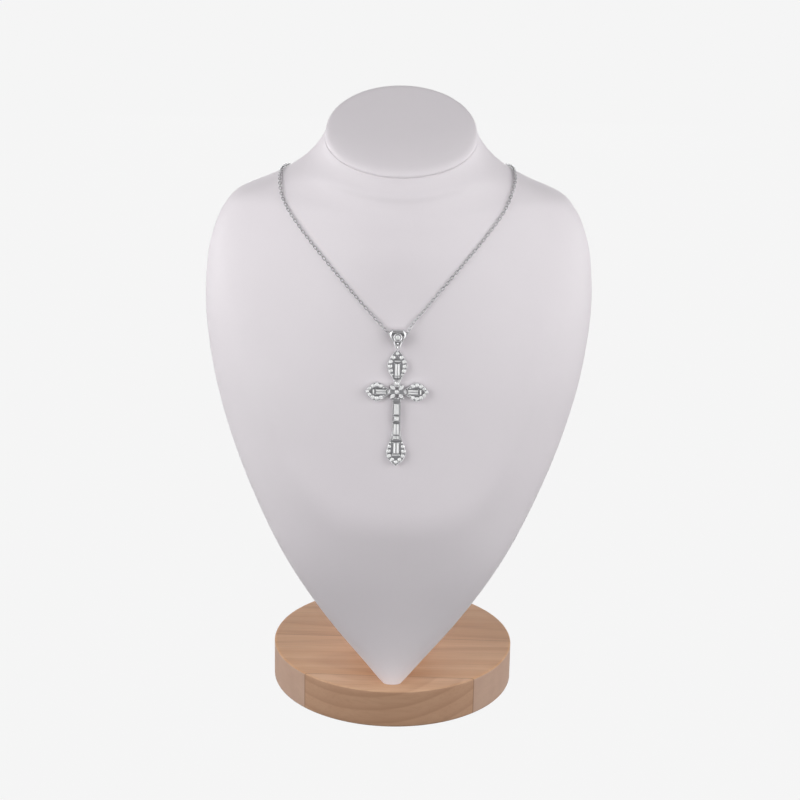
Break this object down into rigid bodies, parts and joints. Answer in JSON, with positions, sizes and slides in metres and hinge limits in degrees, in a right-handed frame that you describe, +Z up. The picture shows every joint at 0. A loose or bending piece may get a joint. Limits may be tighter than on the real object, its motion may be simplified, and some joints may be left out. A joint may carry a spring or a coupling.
{
  "type": "cross pendant necklace on neck bust",
  "caption": "Stone-set cross pendant hanging from a V-shaped bail on a fine chain, laid round a pale neck bust on a round wooden base.",
  "frame": {"origin": "centre of the underside of the round base, on the surface that the display stands on", "axes": "+Z up, front of the bust towards -Y, +X to the right seen from the front"},
  "size_m": [0.2326, 0.1523, 0.3681],
  "materials": {
    "base_wood": "satin lacquer, grain from left to right",
    "bust_cover": "matt white leatherette, smooth",
    "cap_cover": "matt white leatherette, smooth",
    "chain_metal": "polished white metal",
    "clasp_metal": "polished white metal",
    "bail_metal": "polished white metal",
    "cross_metal": "polished white metal with beaded settings",
    "stones": "clear, step-cut, round and pointed-oval faceted stones"
  },
  "bodies": {
    "root": {"base": "base_wood", "bust": "bust_cover", "neck_cap": "cap_cover", "chain": "chain_metal", "clasp": "clasp_metal"},
    "bail": {"bail": "bail_metal", "bail_stone": "stones"},
    "cross": {"cross_frame": "cross_metal", "top_bar_stone": "stones", "top_baguette_left": "stones", "top_baguette_right": "stones", "collar_stone": "stones", "left_baguette_upper": "stones", "left_baguette_lower": "stones", "left_end_stone": "stones", "left_collar_stone": "stones", "right_baguette_upper": "stones", "right_baguette_lower": "stones", "right_end_stone": "stones", "right_collar_stone": "stones", "centre_stone": "stones", "petal_upper_left": "stones", "petal_upper_right": "stones", "petal_lower_left": "stones", "petal_lower_right": "stones", "shaft_baguette": "stones", "shaft_square_stone": "stones", "taper_left": "stones", "taper_right": "stones", "foot_square_left": "stones", "foot_square_right": "stones", "bottom_baguette_left": "stones", "bottom_baguette_right": "stones", "bottom_bar_stone": "stones"}
  },
  "joints": [
    {"name": "bail_swing", "type": "hinge", "parent": "root", "child": "bail", "pos_m": [0, -0.0634, 0.2465], "axis": [-1, 0, 0], "range_deg": [0, 90]},
    {"name": "cross_swing", "type": "hinge", "parent": "bail", "child": "cross", "pos_m": [0, -0.06462, 0.2388], "axis": [-1, 0, 0], "range_deg": [0, 90]}
  ]
}
